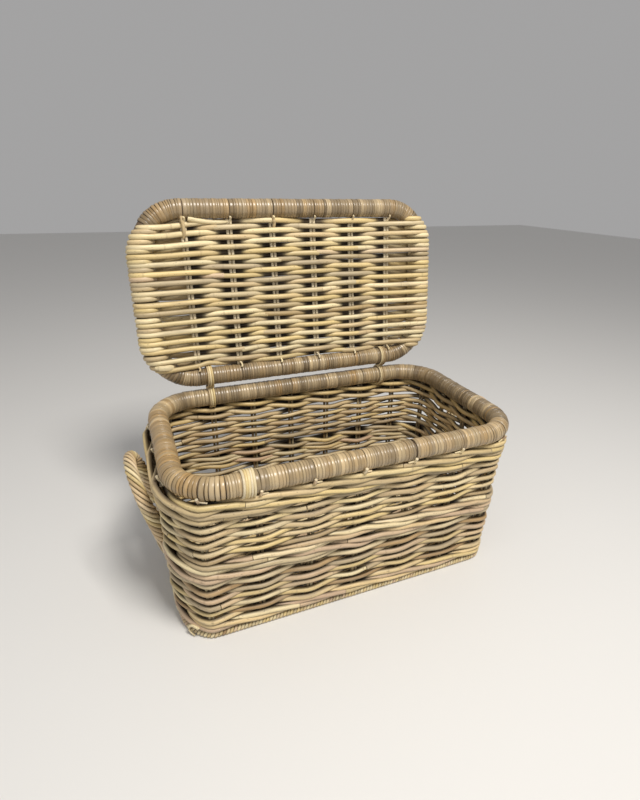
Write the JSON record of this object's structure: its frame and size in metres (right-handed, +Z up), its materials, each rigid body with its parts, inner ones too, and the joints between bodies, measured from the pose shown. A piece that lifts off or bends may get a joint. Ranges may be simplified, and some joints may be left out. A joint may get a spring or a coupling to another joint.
{
  "type": "wicker storage trunk",
  "caption": "Rounded rectangular wicker trunk with cane-wrapped rim, twisted end handles and a flat woven lid hinged on cane loops.",
  "frame": {"origin": "on the ground, under the middle of the basket", "axes": "+Z up, +X towards the right handle, the front faces -Y and the lid's hinge is on the +Y side"},
  "size_m": [0.648, 0.3657, 0.5854],
  "materials": {
    "weave_strand": "satin",
    "wale_strand": "satin",
    "stake": "matt",
    "rim_peel": "semi-gloss",
    "pole": "matt",
    "binding_cane": "satin",
    "handle_rope": "satin"
  },
  "bodies": {
    "basket": {"foot_border": "wale_strand", "base_sticks": "stake", "base_weave": "weave_strand", "lower_weave": "weave_strand", "middle_wale": "wale_strand", "upper_weave": "weave_strand", "top_wale": "wale_strand", "front_stakes": "stake", "right_stakes": "stake", "rear_stakes": "stake", "left_stakes": "stake", "rim_core": "pole", "front_rim_wrap": "rim_peel", "right_rim_wrap": "rim_peel", "rear_rim_wrap": "rim_peel", "left_rim_wrap": "rim_peel", "rim_splice_binding": "binding_cane", "rim_stake_ends": "binding_cane", "left_handle": "handle_rope", "right_handle": "handle_rope", "left_hinge_loop": "binding_cane", "right_hinge_loop": "binding_cane", "left_hinge_collar": "binding_cane", "right_hinge_collar": "binding_cane"},
    "lid": {"lid_core": "pole", "lid_front_wrap": "rim_peel", "lid_rear_wrap": "rim_peel", "lid_left_loops": "weave_strand", "lid_right_loops": "weave_strand", "lid_weave": "weave_strand", "lid_stakes": "stake", "lid_stake_ends": "binding_cane"}
  },
  "joints": [
    {"name": "lid_hinge", "type": "hinge", "parent": "basket", "child": "lid", "pos_m": [0, 0.147, 0.296], "axis": [1, 0, 0], "range_deg": [0, 98.2]}
  ]
}
